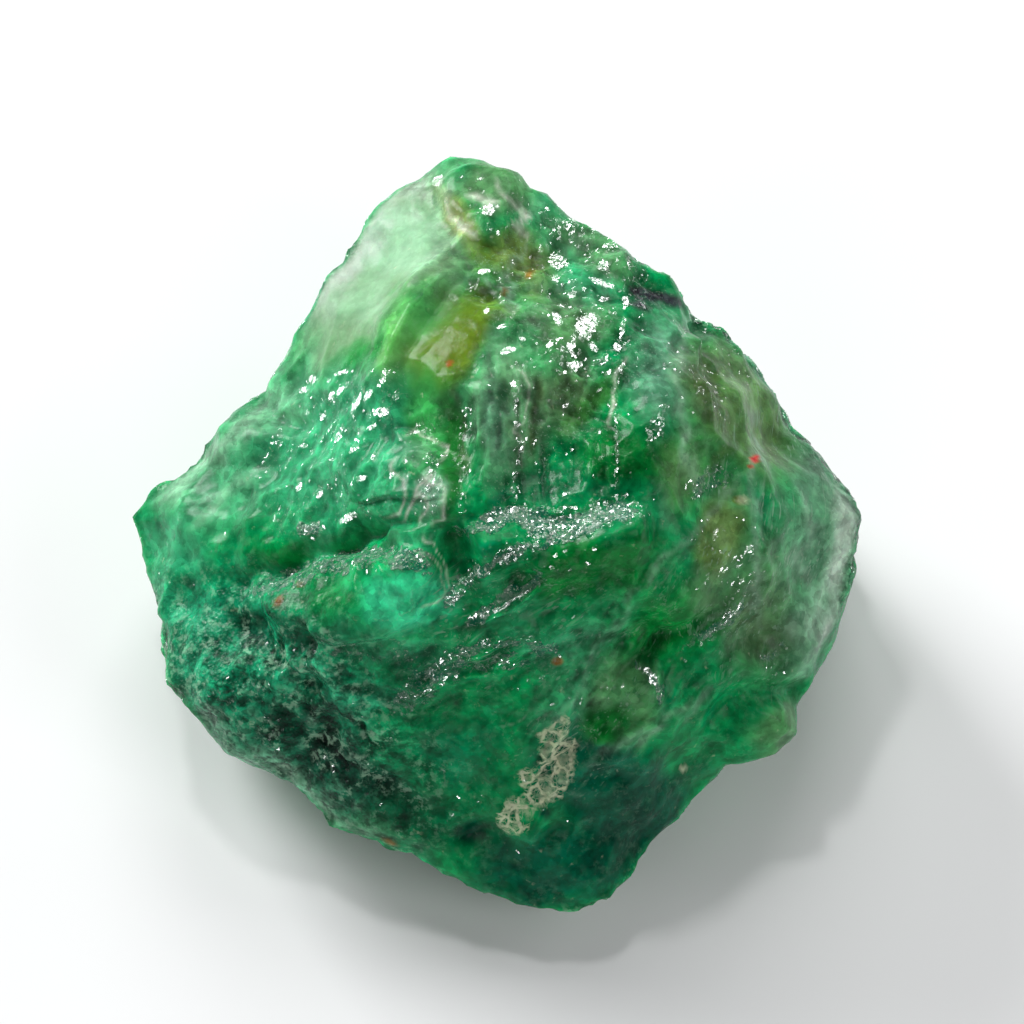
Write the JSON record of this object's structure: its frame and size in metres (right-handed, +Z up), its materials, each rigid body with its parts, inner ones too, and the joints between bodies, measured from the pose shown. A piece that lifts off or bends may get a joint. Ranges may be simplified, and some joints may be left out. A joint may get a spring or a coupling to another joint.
{
  "type": "raw fluorite stone",
  "caption": "Rough lump of green fluorite with broken faces, a hollow, a ledge and a crumbly corner, resting on a flat break.",
  "frame": {"origin": "on the flat resting break, straight under the middle of the stone's box", "axes": "+Z up as the stone rests, -Y towards the side that the show side leans to, +X to the right of the show side"},
  "size_m": [0.0367, 0.035, 0.0219],
  "materials": {
    "fluorite": "gloss"
  },
  "bodies": {
    "root": {"raw_fluorite": "fluorite"}
  },
  "joints": []
}
